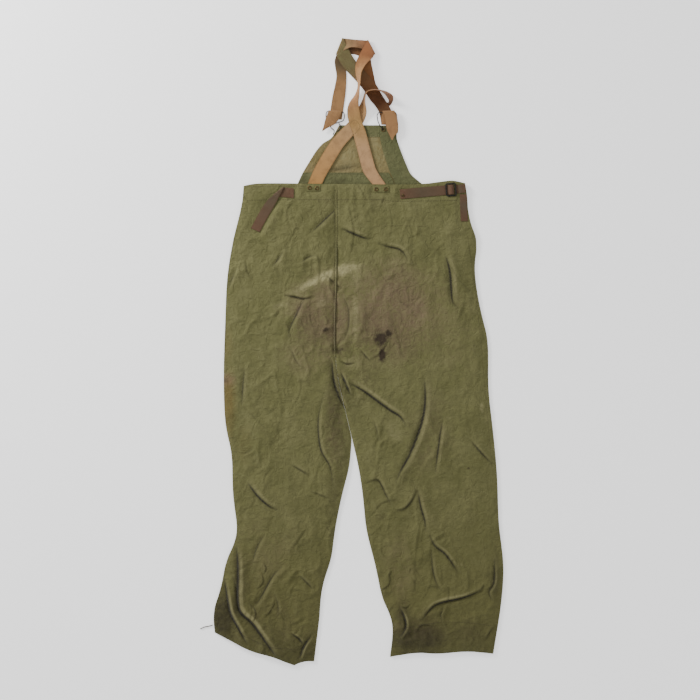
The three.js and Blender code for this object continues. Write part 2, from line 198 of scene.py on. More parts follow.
def wornPoplin(name, colours, marks):
    # Worn cotton poplin, plain woven: matt, faintly napped, lighter on crease ridges where it is rubbed and where a
    # highlight is painted, and with painted shade in the folds
    material, tree, shader = newMaterial(name, colours["base"], Roughness=0.93)
    shader.inputs["Sheen Weight"].default_value = 0.08
    shader.inputs["Sheen Roughness"].default_value = 0.6
    shader.inputs["Specular IOR Level"].default_value = 0.25
    place = addNode(tree, "ShaderNodeTexCoord").outputs["Object"]
    broad = addNode(tree, "ShaderNodeTexNoise", {"Vector": place, "Scale": 1000 / clothLook["mottleMm"],
                                                "Detail": 6.0, "Roughness": 0.62})
    speck = addNode(tree, "ShaderNodeTexNoise", {"Vector": place, "Scale": 1000 / clothLook["speckMm"],
                                                "Detail": 5.0, "Roughness": 0.7})
    spread = addNode(tree, "ShaderNodeMapRange", {"Value": broad.outputs["Fac"], "From Min": 0.38,
                                                 "From Max": 0.64, "To Max": 0.8})
    fine = addNode(tree, "ShaderNodeMapRange", {"Value": speck.outputs["Fac"], "From Min": 0.4,
                                               "From Max": 0.68, "To Max": 0.42})
    base = addNode(tree, "ShaderNodeRGB").outputs[0]
    base.default_value = linear(colours["base"])
    colour = overlay(tree, base, spread.outputs[0], colours["faded"])
    colour = overlay(tree, colour, fine.outputs[0], colours["deep"])
    for mark, (markColour, strength, ragged) in marks.items():
        field = addNode(tree, "ShaderNodeAttribute", attribute_name=mark).outputs["Fac"]
        rough = addNode(tree, "ShaderNodeMath", {0: broad.outputs["Fac"], 1: speck.outputs["Fac"]},
                        operation="ADD")
        wander = addNode(tree, "ShaderNodeMath", {0: rough.outputs[0], 1: 1.0}, operation="SUBTRACT")
        moved = addNode(tree, "ShaderNodeMath", {0: wander.outputs[0], 1: ragged, 2: field},
                        operation="MULTIPLY_ADD")
        # where the field is nothing the mark stays away
        kept = addNode(tree, "ShaderNodeMath", {0: moved.outputs[0], 1: field}, operation="MULTIPLY")
        amount = addNode(tree, "ShaderNodeMath", {0: kept.outputs[0], 1: strength}, operation="MULTIPLY",
                         use_clamp=True)
        colour = overlay(tree, colour, amount.outputs[0], markColour)
    tree.links.new(colour, shader.inputs["Base Color"])
    threads = 1 / (clothLook["weaveMm"] * mm) / 3.2
    warp = addNode(tree, "ShaderNodeTexWave", {"Vector": place, "Scale": threads, "Distortion": 0.6,
                                              "Detail": 1.0}, bands_direction="X")
    weft = addNode(tree, "ShaderNodeTexWave", {"Vector": place, "Scale": threads, "Distortion": 0.6,
                                              "Detail": 1.0}, bands_direction="Y")
    weave = addNode(tree, "ShaderNodeMath", {0: warp.outputs["Fac"], 1: weft.outputs["Fac"]},
                    operation="ADD")
    threadBump = addNode(tree, "ShaderNodeBump", {"Height": weave.outputs[0], "Strength": 0.25,
                                                 "Distance": 0.12 * mm})
    crumple = addNode(tree, "ShaderNodeTexNoise", {"Vector": place, "Scale": 1000 / 19, "Detail": 5.0,
                                                  "Roughness": 0.6, "Distortion": 1.4})
    bump = addNode(tree, "ShaderNodeBump", {"Height": crumple.outputs["Fac"], "Strength": 1.0,
                                           "Distance": 4.4 * mm, "Normal": threadBump.outputs[0]})
    tree.links.new(bump.outputs[0], shader.inputs["Normal"])
    return material


def cottonWebbing(name, stops, ribMm=1.6):
    # Cotton webbing, ribbed across: its colour runs along the strap, faded by sun and darkened by grease, with painted
    # shade in the dark stops where it loops and passes under other strands
    material, tree, shader = newMaterial(name, stops[0][1], Roughness=0.9)
    shader.inputs["Sheen Weight"].default_value = 0.1
    shader.inputs["Specular IOR Level"].default_value = 0.25
    place = addNode(tree, "ShaderNodeTexCoord").outputs["Object"]
    run = addNode(tree, "ShaderNodeUVMap", uv_map="run").outputs[0]
    split = addNode(tree, "ShaderNodeSeparateXYZ", {0: run})
    cloud = addNode(tree, "ShaderNodeTexNoise", {"Vector": place, "Scale": 1000 / 28, "Detail": 5.0,
                                                "Roughness": 0.65})
    stray = addNode(tree, "ShaderNodeMath", {0: cloud.outputs["Fac"], 1: 0.05, 2: -0.025},
                    operation="MULTIPLY_ADD")
    along = addNode(tree, "ShaderNodeMath", {0: split.outputs["Y"], 1: stray.outputs[0]}, operation="ADD")
    ramp = addNode(tree, "ShaderNodeValToRGB", {"Fac": along.outputs[0]})
    elements = ramp.color_ramp.elements
    elements[0].position, elements[0].color = stops[0][0], linear(stops[0][1])
    elements[1].position, elements[1].color = stops[-1][0], linear(stops[-1][1])
    for position, hexColour in stops[1:-1]:
        elements.new(position).color = linear(hexColour)
    dirty = addNode(tree, "ShaderNodeMapRange", {"Value": cloud.outputs["Fac"], "From Min": 0.46,
                                                "From Max": 0.78, "To Max": 0.5})
    colour = overlay(tree, ramp.outputs["Color"], dirty.outputs[0], "#4d3724")
    selvedge = addNode(tree, "ShaderNodeMath", {0: split.outputs["X"], 1: 0.5}, operation="SUBTRACT")
    outward = addNode(tree, "ShaderNodeMath", {0: selvedge.outputs[0]}, operation="ABSOLUTE")
    # darker along both selvedges of the webbing
    wear_and_highlight = addNode(tree, "ShaderNodeMapRange", {"Value": outward.outputs[0], "From Min": 0.40,
                                               "From Max": 0.5, "To Max": 0.35})
    colour = overlay(tree, colour, wear_and_highlight.outputs[0], "#5b4028")
    tree.links.new(colour, shader.inputs["Base Color"])
    length = addNode(tree, "ShaderNodeAttribute", attribute_name="distance").outputs["Fac"]
    turns = addNode(tree, "ShaderNodeMath", {0: length, 1: 2 * math.pi / (ribMm * mm)},
                    operation="MULTIPLY")
    rib = addNode(tree, "ShaderNodeMath", {0: turns.outputs[0]}, operation="SINE")
    ribBump = addNode(tree, "ShaderNodeBump", {"Height": rib.outputs[0], "Strength": 0.6,
                                              "Distance": 0.25 * mm})
    lines = addNode(tree, "ShaderNodeMath", {0: split.outputs["X"], 1: 2 * math.pi * 9},
                    operation="MULTIPLY")
    cordage = addNode(tree, "ShaderNodeMath", {0: lines.outputs[0]}, operation="SINE")
    lineBump = addNode(tree, "ShaderNodeBump", {"Height": cordage.outputs[0], "Strength": 0.35,
                                               "Distance": 0.2 * mm, "Normal": ribBump.outputs[0]})
    tree.links.new(lineBump.outputs[0], shader.inputs["Normal"])
    return material


def agedMetal(name, colour, dull, roughness, metallic):
    # Aged metal, rubbed bright where it slides and dull with oxide elsewhere
    material, tree, shader = newMaterial(name, colour, Roughness=roughness, Metallic=metallic)
    place = addNode(tree, "ShaderNodeTexCoord").outputs["Object"]
    grain = addNode(tree, "ShaderNodeTexNoise", {"Vector": place, "Scale": 1000 / 3, "Detail": 5.0})
    amount = addNode(tree, "ShaderNodeMapRange", {"Value": grain.outputs["Fac"], "From Min": 0.4,
                                                 "From Max": 0.62})
    base = addNode(tree, "ShaderNodeRGB").outputs[0]
    base.default_value = linear(colour)
    tree.links.new(overlay(tree, base, amount.outputs[0], dull), shader.inputs["Base Color"])
    gloss = addNode(tree, "ShaderNodeMapRange", {"Value": grain.outputs["Fac"], "To Min": roughness - 0.12,
                                                "To Max": roughness + 0.2})
    tree.links.new(gloss.outputs[0], shader.inputs["Roughness"])
    bump = addNode(tree, "ShaderNodeBump", {"Height": grain.outputs["Fac"], "Strength": 0.3,
                                           "Distance": 0.1 * mm})
    tree.links.new(bump.outputs[0], shader.inputs["Normal"])
    return material


def sewingThread(name, colour):
    # Cotton sewing thread, matt, twisted: one colour broken by dirt
    material, tree, shader = newMaterial(name, colour, Roughness=0.85)
    place = addNode(tree, "ShaderNodeTexCoord").outputs["Object"]
    dirt = addNode(tree, "ShaderNodeTexNoise", {"Vector": place, "Scale": 1000 / 20, "Detail": 3.0})
    amount = addNode(tree, "ShaderNodeMapRange", {"Value": dirt.outputs["Fac"], "From Min": 0.4,
                                                 "From Max": 0.7, "To Max": 0.6})
    base = addNode(tree, "ShaderNodeRGB").outputs[0]
    base.default_value = linear(colour)
    tree.links.new(overlay(tree, base, amount.outputs[0], "#2e2a1c"), shader.inputs["Base Color"])
    return material


clothMarks = {
    "low": ("#55522c", 0.7, 0.6),
    # hem_dirt_and_shade: dirt darkens the hems, and narrow strips along the inner leg and folds are painted shade
    "hem_dirt_and_shade": ("#37331c", 0.95, 1.2),
    "brown": ("#71604a", 0.9, 2.0),
    "grime": ("#453a26", 0.5, 3.0),
    "yellow": ("#66552a", 0.8, 1.2),
    "pale": ("#8f8962", 0.95, 2.6),
    "dark": ("#33291b", 1.4, 2.2),
    # wear_and_highlight is lighter on crease ridges: partly rubbed pale, partly a painted highlight
    "wear_and_highlight": ("#817c55", 0.75, 0.8),
    # fold is painted shade: a near-black line and shadow along crease troughs and beside ridges
    "fold": ("#232012", 1.0, 0.3),
}
outerCloth = wornPoplin("wornPoplinOlive", {"base": "#605f38", "faded": "#6d6b44", "deep": "#504e2c"},
                        clothMarks)
innerCloth = wornPoplin("wornPoplinInside", {"base": "#75683f", "faded": "#857852", "deep": "#5d5534"},
                        clothMarks)
facingCloth = wornPoplin("wornPoplinFacing", {"base": "#585a38", "faded": "#646441", "deep": "#4a4a2c"},
                         clothMarks)
# colour along the left brace: sun-faded tan and grease, with painted shade in the darkest stops where the strap loops
# and passes under other strands
braceLeftWeb = cottonWebbing("cottonWebbingLeft", [
    (0.0, "#a87c46"), (0.14, "#ac8455"), (0.24, "#b08d64"), (0.34, "#94693e"), (0.40, "#8c5c38"),
    (0.46, "#59341e"), (0.53, "#7e4f30"), (0.60, "#8c603a"), (0.67, "#5f4029"), (0.74, "#5b4c33"),
    (0.79, "#946f48"), (0.92, "#9a744c"), (1.0, "#946c46"),
])
# colour along the right brace: sun-faded tan, a green stain and grease, with painted shade in the darkest stops where
# the strap loops and passes under other strands
braceRightWeb = cottonWebbing("cottonWebbingRight", [
    (0.0, "#b38b63"), (0.14, "#b18c64"), (0.22, "#a5824f"), (0.30, "#9d7049"), (0.38, "#9f764a"),
    (0.45, "#95603c"), (0.50, "#9b6c4a"), (0.55, "#8d6f4c"), (0.60, "#6b6440"), (0.66, "#665c3c"),
    (0.70, "#7b5a3c"), (0.745, "#7e5433"), (0.79, "#5a3620"), (0.83, "#6c4c30"), (0.87, "#946c46"), (1.0, "#9c744c"),
])
tapeBrown = cottonWebbing("cottonTapeBrown", [(0.0, "#624836"), (0.4, "#544736"), (1.0, "#5e4534")])
darkMetal = agedMetal("blackenedSteel", "#2b2925", "#16140f", 0.5, 0.55)
dullBrass = agedMetal("dullBrass", "#6f5c38", "#3c3222", 0.5, 0.8)
darkThread = sewingThread("darkThread", "#3b3522")
oliveThread = sewingThread("oliveThread", "#5b5534")
redThread = sewingThread("redThread", "#7a4a38")
print("materials ready")


# Hem drawstring, a limp cord out of the left hem

drawstring = {"route": [(-379, -711, 1.2), (-389, -714, 1.2), (-400, -716, 1.2), (-411, -721, 1.2)],
              "diameter": 2.2, "material": "#40331f"}


def makeDrawstring():
    route = smoothLine(drawstring["route"], 2.2) * mm
    curve = bpy.data.curves.new("hem_drawstring_cord", "CURVE")
    curve.dimensions = "3D"
    curve.bevel_depth = drawstring["diameter"] / 2 * mm
    curve.bevel_resolution = 4
    curve.use_fill_caps = True
    spline = curve.splines.new("POLY")
    spline.points.add(len(route) - 1)
    for point, place in zip(spline.points, route):
        point.co = (*place, 1)
    piece = bpy.data.objects.new("hem_drawstring_cord", curve)
    bpy.context.scene.collection.objects.link(piece)
    finishPiece(piece, sewingThread("braidedCotton", drawstring["material"]), "cord", "hem_drawstring")


makeDrawstring()


# Creases of the back, in millimetres: points along each, its height, its width and its kind

backCreases = {
    "waistAndHips": [
        ([(-48, 372), (-75, 348), (-125, 300)], 3.4, 16, "fold"),
        ([(-150, 373), (-112, 370), (-80, 355)], 1.6, 9, "ridge"),
        ([(-45, 325), (0, 305), (25, 297), (38, 300)], 3.6, 17, "fold"),
        ([(45, 288), (72, 278), (110, 268), (128, 245), (130, 222)], 3.0, 16, "fold"),
        ([(-190, 265), (-200, 245), (-225, 212)], 2.8, 13, "fold"),
        ([(-105, 248), (-130, 241), (-150, 225)], 2.6, 12, "fold"),
        ([(-72, 251), (-92, 246), (-112, 238)], 1.6, 8, "ridge"),
        ([(-312, 218), (-326, 186), (-337, 155)], 2.4, 12, "fold"),
        ([(-326, 112), (-318, 90), (-300, 64)], 2.2, 11, "ridge"),
        ([(230, 258), (243, 205), (250, 130), (268, 118)], 4.2, 22, "fold"),
        ([(172, 158), (195, 160), (215, 178)], 2.4, 12, "ridge"),
        ([(245, 332), (270, 312), (292, 300)], 2.0, 10, "ridge"),
        ([(238, 345), (240, 300), (232, 262)], 1.8, 10, "ridge"),
        ([(270, 300), (278, 262), (272, 225)], 2.0, 11, "ridge"),
        ([(-205, 385), (-225, 335), (-262, 290)], 1.6, 12, "ridge"),
        ([(-140, 395), (-150, 350), (-172, 305)], 1.4, 11, "ridge"),
        ([(118, 385), (128, 345), (122, 305)], 1.4, 11, "ridge"),
        ([(160, 300), (172, 250), (160, 205)], 1.5, 12, "ridge"),
        ([(68, 322), (85, 312), (96, 330)], 1.2, 7, "ridge"),
    ],
    "seat": [
        ([(-197, 150), (-165, 145), (-140, 140), (-116, 148)], 3.0, 13, "fold"),
        ([(-87, 206), (-60, 180), (-38, 163)], 2.6, 11, "fold"),
        ([(-130, 146), (-152, 105), (-175, 55), (-178, 20)], 3.0, 16, "fold"),
        ([(-178, 20), (-160, -22), (-142, -45)], 2.2, 11, "fold"),
        ([(-45, 160), (-23, 110), (-26, 50), (-50, 10)], 2.6, 12, "fold"),
        ([(-10, 182), (-6, 90), (-12, 18)], 2.2, 8, "ridge"),
        ([(6, 172), (10, 90), (2, 28)], 2.2, 8, "ridge"),
        ([(3, 10), (20, -10), (36, -28)], 2.6, 9, "fold"),
        ([(190, 100), (184, 40), (176, -20)], 2.2, 13, "ridge"),
        ([(246, 118), (260, 62), (266, 8)], 2.4, 13, "ridge"),
        ([(300, 45), (296, 20), (304, -5)], 1.8, 8, "ridge"),
        ([(-60, 72), (-85, 57), (-98, 38)], 1.6, 6, "ridge"),
        ([(60, 80), (88, 62), (118, 40)], 1.4, 9, "ridge"),
        ([(-230, 120), (-205, 85), (-212, 45)], 1.6, 12, "ridge"),
        ([(-290, 50), (-272, 0), (-250, -30)], 1.8, 14, "ridge"),
    ],
    "crotch": [
        ([(-66, -18), (-60, -75), (-45, -122), (-26, -155)], 5.0, 14, "fold"),
        ([(-45, -50), (-30, -84), (-17, -116)], 4.2, 10, "fold"),
        ([(-30, -74), (12, -96), (80, -145), (112, -166), (131, -196)], 4.4, 18, "fold"),
        ([(-80, -100), (-100, -170), (-95, -250), (-70, -300), (-60, -372)], 3.2, 14, "fold"),
        ([(-70, -10), (-95, -40), (-118, -66)], 2.4, 12, "ridge"),
        ([(-50, -20), (-30, -30), (-8, -26)], 2.6, 9, "fold"),
        ([(40, -172), (50, -205), (56, -240)], 2.2, 10, "fold"),
        ([(-50, -215), (-40, -262), (-36, -296)], 1.8, 9, "ridge"),
    ],
    "leftLeg": [
        ([(-290, -28), (-296, -90), (-300, -152)], 2.6, 15, "fold"),
        ([(-280, -86), (-252, -96), (-225, -100)], 1.8, 10, "ridge"),
        ([(-345, -172), (-325, -150), (-304, -134)], 2.0, 11, "ridge"),
        ([(-270, -178), (-246, -205), (-226, -242)], 2.2, 16, "ridge"),
        ([(-265, -250), (-284, -262), (-302, -272)], 2.2, 9, "fold"),
        ([(-286, -334), (-260, -370), (-226, -400), (-204, -406)], 3.8, 17, "fold"),
        ([(-196, -368), (-185, -420), (-155, -486)], 3.0, 22, "ridge"),
        ([(-235, -468), (-260, -510), (-276, -562)], 2.6, 14, "fold"),
        ([(-176, -290), (-150, -305), (-124, -321)], 2.4, 11, "fold"),
        ([(-75, -300), (-95, -325), (-106, -346)], 2.0, 9, "ridge"),
        ([(-126, -360), (-98, -370), (-74, -380)], 2.0, 10, "fold"),
        ([(-180, -130), (-165, -180), (-176, -235)], 1.6, 14, "ridge"),
        ([(-240, -120), (-218, -165), (-226, -205)], 1.6, 13, "ridge"),
        ([(-140, -420), (-118, -455), (-128, -500)], 1.8, 13, "ridge"),
    ],
    "leftHem": [
        ([(-313, -497), (-308, -560), (-308, -650), (-298, -678), (-268, -707), (-205, -796)], 6.0, 19, "fold"),
        ([(-346, -580), (-335, -650), (-328, -680), (-308, -716), (-282, -764)], 4.8, 14, "fold"),
        ([(-326, -576), (-313, -620), (-311, -655)], 2.6, 9, "fold"),
        ([(-190, -556), (-220, -586), (-250, -640), (-276, -676)], 3.0, 15, "fold"),
        ([(-155, -576), (-132, -598), (-116, -616)], 2.6, 11, "fold"),
        ([(-216, -624), (-206, -660), (-206, -694)], 2.2, 10, "fold"),
        ([(-186, -698), (-184, -730), (-182, -762)], 2.4, 8, "ridge"),
        ([(-166, -622), (-156, -668), (-144, -692)], 2.2, 10, "ridge"),
        ([(-176, -728), (-152, -744), (-140, -764)], 3.4, 10, "fold"),
        ([(-118, -738), (-138, -764), (-152, -802)], 4.2, 10, "fold"),
        ([(-240, -690), (-226, -735), (-230, -775)], 2.0, 10, "ridge"),
    ],
    "rightLeg": [
        ([(176, -58), (178, -130), (168, -190), (140, -264), (110, -320), (100, -352)], 4.6, 20, "fold"),
        ([(164, -210), (168, -228), (176, -246)], 1.8, 8, "ridge"),
        ([(225, -166), (216, -215), (206, -290), (202, -326)], 3.4, 15, "fold"),
        ([(290, -225), (320, -260), (352, -294)], 3.0, 11, "fold"),
        ([(14, -340), (40, -330), (56, -334), (72, -366), (92, -406)], 2.8, 12, "fold"),
        ([(92, -406), (112, -408), (132, -390), (150, -355)], 2.8, 12, "fold"),
        ([(156, -352), (165, -400), (176, -440), (178, -476)], 3.4, 15, "fold"),
        ([(168, -405), (194, -438), (212, -470)], 2.4, 11, "ridge"),
        ([(184, -464), (200, -500), (226, -521), (248, -550), (264, -578)], 3.8, 14, "fold"),
        ([(192, -500), (195, -560), (206, -602), (222, -625)], 2.8, 12, "fold"),
        ([(100, -428), (95, -500), (90, -562)], 2.0, 10, "ridge"),
        ([(126, -478), (130, -580), (142, -622)], 2.2, 11, "ridge"),
        ([(146, -440), (150, -478), (150, -512)], 1.8, 9, "ridge"),
        ([(290, -500), (312, -514), (332, -532)], 1.8, 9, "ridge"),
        ([(300, -90), (312, -140), (306, -190)], 1.6, 12, "ridge"),
        ([(270, -340), (282, -400), (276, -450)], 1.8, 14, "ridge"),
        ([(240, -40), (252, -80), (260, -120)], 1.8, 10, "ridge"),
    ],
    "rightHem": [
        ([(160, -696), (180, -670), (206, -650), (270, -635), (324, -614)], 4.6, 14, "fold"),
        ([(226, -658), (215, -685), (219, -702)], 2.6, 8, "fold"),
        ([(108, -660), (122, -690), (125, -716), (108, -746)], 4.2, 10, "fold"),
        ([(90, -706), (102, -712), (106, -724)], 2.4, 7, "ridge"),
        ([(356, -530), (354, -600), (341, -625), (353, -652)], 3.4, 10, "fold"),
        ([(283, -668), (285, -684), (286, -702)], 1.6, 7, "ridge"),
        ([(236, -726), (240, -750), (238, -776)], 1.6, 6, "ridge"),
        ([(200, -724), (196, -750), (200, -776)], 1.8, 6, "ridge"),
        ([(160, -722), (164, -750), (158, -774)], 1.8, 6, "ridge"),
        ([(274, -724), (278, -750), (276, -772)], 1.6, 6, "ridge"),
        ([(312, -722), (308, -748), (314, -774)], 1.6, 6, "ridge"),
    ],
    "waistGathers": [
        ([(-72, 428), (-70, 400), (-76, 352)], 1.6, 5, "ridge"),
        ([(-52, 428), (-50, 398), (-54, 360)], 1.7, 5, "ridge"),
        ([(-32, 428), (-30, 390), (-22, 345)], 1.8, 5, "ridge"),
        ([(-14, 428), (-12, 385), (-14, 335)], 1.8, 5, "ridge"),
        ([(6, 428), (8, 390), (14, 338)], 1.7, 5, "ridge"),
        ([(24, 428), (26, 398), (36, 350)], 1.5, 5, "ridge"),
    ],
}

# Stains, rubbed patches and painted shade of the back: middle, half sizes, turn in degrees, strength
stains = {
    "brown": [((-80, 100), (95, 95), 0, 0.75), ((90, 110), (130, 115), 0, 0.85), ((60, 190), (60, 45), 0, 0.5),
              ((-120, -10), (80, 60), 0, 0.45), ((95, 20), (110, 55), 0, 0.45), ((210, 120), (50, 90), 0, 0.35),
              ((-345, -75), (24, 18), 0, 0.9), ((-60, -190), (30, 110), 0, 0.4), ((190, -210), (45, 90), 0, 0.35),
              ((-230, -520), (60, 80), 0, 0.25), ((110, -560), (40, 90), 0, 0.35), ((240, 60), (60, 110), 0, 0.3),
              ((-150, 105), (16, 26), -30, 0.8), ((40, 70), (30, 40), 0, 0.6), ((120, -720), (45, 34), 0, 0.25)],
    "dark": [((58, 32), (18, 20), 0, 1.0), ((78, 47), (9, 9), 0, 0.9), ((62, -8), (9, 18), 0, 1.0),
             ((-85, 57), (8, 5), 30, 1.0), ((-52, 2), (16, 9), 15, 0.7), ((285, -303), (5, 4), 0, 0.8),
             ((-354, -76), (14, 6), 0, 0.55), ((60, -430), (16, 9), 0, 0.35), ((22, -75), (8, 12), 0, 0.35)],
    "pale": [((-128, 176), (40, 11), 28, 1.0), ((-80, 198), (36, 12), 18, 1.0), ((-32, 214), (38, 15), 14, 1.0),
             ((-8, 196), (14, 26), 0, 0.6), ((-95, 125), (22, 12), 20, 0.5), ((-205, 118), (20, 9), 15, 0.5),
             ((-8, 90), (9, 70), 0, 0.6), ((320, -145), (6, 14), 0, 0.9), ((235, -172), (9, 6), 0, 0.5),
             ((262, -553), (8, 8), 0, 0.5), ((96, -215), (18, 26), 20, 0.35), ((-20, -28), (20, 14), -20, 0.45)],
    "grime": [((-95, 70), (75, 75), 0, 0.7), ((60, 60), (85, 75), 0, 0.75), ((110, 150), (60, 60), 0, 0.6),
              ((-40, 10), (55, 40), 0, 0.6), ((0, -60), (60, 60), 0, 0.5), ((130, 30), (55, 70), 0, 0.55),
              ((-150, 170), (45, 22), 20, 0.45), ((-60, -260), (26, 120), 0, 0.5), ((150, -280), (24, 120), 8, 0.4),
              ((-300, -560), (30, 90), 0, 0.5), ((200, -700), (120, 50), 0, 0.5), ((-230, -700), (90, 80), 0, 0.45),
              ((-20, 395), (110, 22), 0, 0.35), ((-200, 330), (60, 30), 0, 0.3)],
    "yellow": [((-340, -140), (22, 85), 0, 0.9), ((-345, 20), (18, 60), 0, 0.5), ((-300, -240), (26, 50), 0, 0.4)],
    # dirt at the hems, and painted shade in the narrow strips along the inner leg, crotch and folds
    "hem_dirt_and_shade": [((-350, -690), (40, 75), 0, 1.0), ((-310, -600), (14, 90), 0, 0.8), ((-180, -790), (110, 60), 0, 0.7),
            ((-240, -740), (80, 60), 0, 0.5), ((150, -745), (95, 48), 0, 0.95), ((280, -745), (90, 45), 0, 0.6),
            ((115, -690), (20, 45), 0, 0.8), ((355, -590), (16, 70), 0, 0.6), ((-30, -110), (26, 60), 15, 0.6),
            ((-60, -170), (22, 110), 8, 0.75), ((180, -120), (14, 70), 0, 0.5), ((-305, -80), (14, 70), 0, 0.4),
            ((118, -330), (20, 40), -25, 0.35), ((-70, -400), (14, 90), 0, 0.45), ((-85, -590), (14, 60), 0, 0.4)],
}
seatTone = {"lightAbove": -120, "darkBelow": -640}  # the cloth darkens down the legs


def addCreases(place, creases, lift, paintedFoldShadeField, wearAndHighlightField):
    for path, height, width, kind in creases:
        line = smoothLine(path, 8) * mm
        reach = 3.2 * width * mm
        low, high = line.min(0) - reach, line.max(0) + reach
        near = np.where(((place[:, :2] > low) & (place[:, :2] < high)).all(1))[0]
        if not len(near):
            continue
        xy = place[near, :2]
        best = np.full(len(near), 1e9)
        side = np.zeros(len(near))
        run = np.zeros(len(near))
        total = len(line) - 1
        for i in range(total):
            a, d = line[i], line[i + 1] - line[i]
            t = np.clip(((xy - a) @ d) / (d @ d), 0, 1)
            off = xy - a - t[:, None] * d
            distance = np.hypot(off[:, 0], off[:, 1])
            closer = distance < best
            best[closer] = distance[closer]
            side[closer] = (np.sign(d[0] * off[:, 1] - d[1] * off[:, 0]) * distance)[closer]
            run[closer] = ((i + t) / total)[closer]
        taper = np.sin(np.pi * np.clip(run, 0, 1)) ** 0.6
        taper[(run <= 0) | (run >= 1)] = 0
        w = width * mm
        if kind == "fold":
            ridge = np.where(side > 0, np.exp(-(side / w) ** 2), np.exp(-(side / (0.3 * w)) ** 2))
            trough = np.exp(-((side + 0.34 * w) / (0.26 * w)) ** 2)
            lift[near] += taper * height * mm * (0.75 * ridge - 0.6 * trough)
            # painted shade: a dark line in the fold's trough and a broad shadow on its low side go into the fold field
            line2 = np.exp(-((side + 0.26 * w) / (1.7 * mm + 0.07 * w)) ** 2)
            shade = np.exp(-((side + 0.5 * w) / (0.55 * w)) ** 2) * (side < 0)
            paintedFoldShadeField[near] = np.maximum(paintedFoldShadeField[near], taper * (0.3 * height * line2 + 0.075 * height * shade))
            # painted highlight on the ridge's lit side, partly rubbed pale
            wearAndHighlightField[near] = np.maximum(wearAndHighlightField[near], taper * 0.24 * height * np.exp(-((side - 0.25 * w) / (0.3 * w)) ** 2))
        else:
            ridge = np.exp(-(best / w) ** 2)
            lift[near] += taper * height * mm * 0.6 * ridge
            # painted shade: a shadow beside the ridge goes into the fold field
            edge = np.exp(-((side + 0.9 * w) / (0.35 * w)) ** 2)
            paintedFoldShadeField[near] = np.maximum(paintedFoldShadeField[near], taper * 0.09 * height * edge)
            # painted highlight on the ridge top, partly rubbed pale
            wearAndHighlightField[near] = np.maximum(wearAndHighlightField[near], taper * 0.14 * height * ridge)


def strewnCreases(seed, box, count, lengths, heights, widths, lean=None):
    # small random creases that fill a panel, the same each time
    chance = random.Random(seed)
    made = []
    for _ in range(count):
        x, y = chance.uniform(box[0], box[1]), chance.uniform(box[2], box[3])
        heading = chance.gauss(lean, 0.5) if lean is not None else chance.uniform(0, math.pi)
        length = chance.uniform(*lengths)
        bend = chance.uniform(-0.3, 0.3) * length
        dx, dy = math.cos(heading), math.sin(heading)
        made.append((
            [(x - dx * length / 2, y - dy * length / 2), (x - dy * bend, y + dx * bend),
             (x + dx * length / 2, y + dy * length / 2)],
            chance.uniform(*heights), chance.uniform(*widths), chance.choice(["fold", "ridge", "ridge", "ridge"]),
        ))
    return made


def stainField(place, marks):
    field = np.zeros(len(place))
    for (x, y), (halfWidth, halfLength), turn, strength in marks:
        dx, dy = place[:, 0] / mm - x, place[:, 1] / mm - y
        c, s = math.cos(math.radians(turn)), math.sin(math.radians(turn))
        u, v = (dx * c + dy * s) / halfWidth, (dy * c - dx * s) / halfLength
        field = np.maximum(field, strength * np.clip(1.45 - np.hypot(u, v), 0, 1) ** 0.8)
    return field


# Cloth panels, cut to the CAD outline and laid on the CAD wall

def upperFaces(joined):
    return [f for f in joined.faces if f.normal.z > 0.3]


def outlineOf(joined, spacing):
    upper = set(upperFaces(joined))
    follows = {}
    for face in upper:
        for loop in face.loops:
            if not any(f in upper and f is not face for f in loop.edge.link_faces):
                follows[loop.vert] = loop.link_loop_next.vert
    start = next(iter(sorted(follows, key=lambda v: v.co.x + v.co.y)))
    loopPoints, at = [], start
    while True:
        loopPoints.append(np.array(at.co.xy))
        at = follows[at]
        if at is start:
            break
    points, fixed = [], []
    count = len(loopPoints)
    for i, here in enumerate(loopPoints):
        before, after = loopPoints[i - 1], loopPoints[(i + 1) % count]
        a, b = here - before, after - here
        turn = abs(math.atan2(a[0] * b[1] - a[1] * b[0], a @ b))
        steps = max(1, int(np.linalg.norm(b) / spacing))
        for k in range(steps):
            points.append(here + b * k / steps)
            fixed.append(k == 0 and turn > math.radians(38))
    points, fixed = np.array(points), np.array(fixed)
    for _ in range(14):
        middle = (np.roll(points, 1, 0) + np.roll(points, -1, 0)) / 2
        points = np.where(fixed[:, None], points, 0.5 * points + 0.5 * middle)
    return points


def insideOf(points, outline):
    inside = np.zeros(len(points), bool)
    a, b = outline, np.roll(outline, -1, 0)
    for (ax, ay), (bx, by) in zip(a, b):
        if ay == by:
            continue
        crosses = (points[:, 1] > ay) != (points[:, 1] > by)
        x = ax + (points[:, 1] - ay) * (bx - ax) / (by - ay)
        inside ^= crosses & (points[:, 0] < x)
    return inside


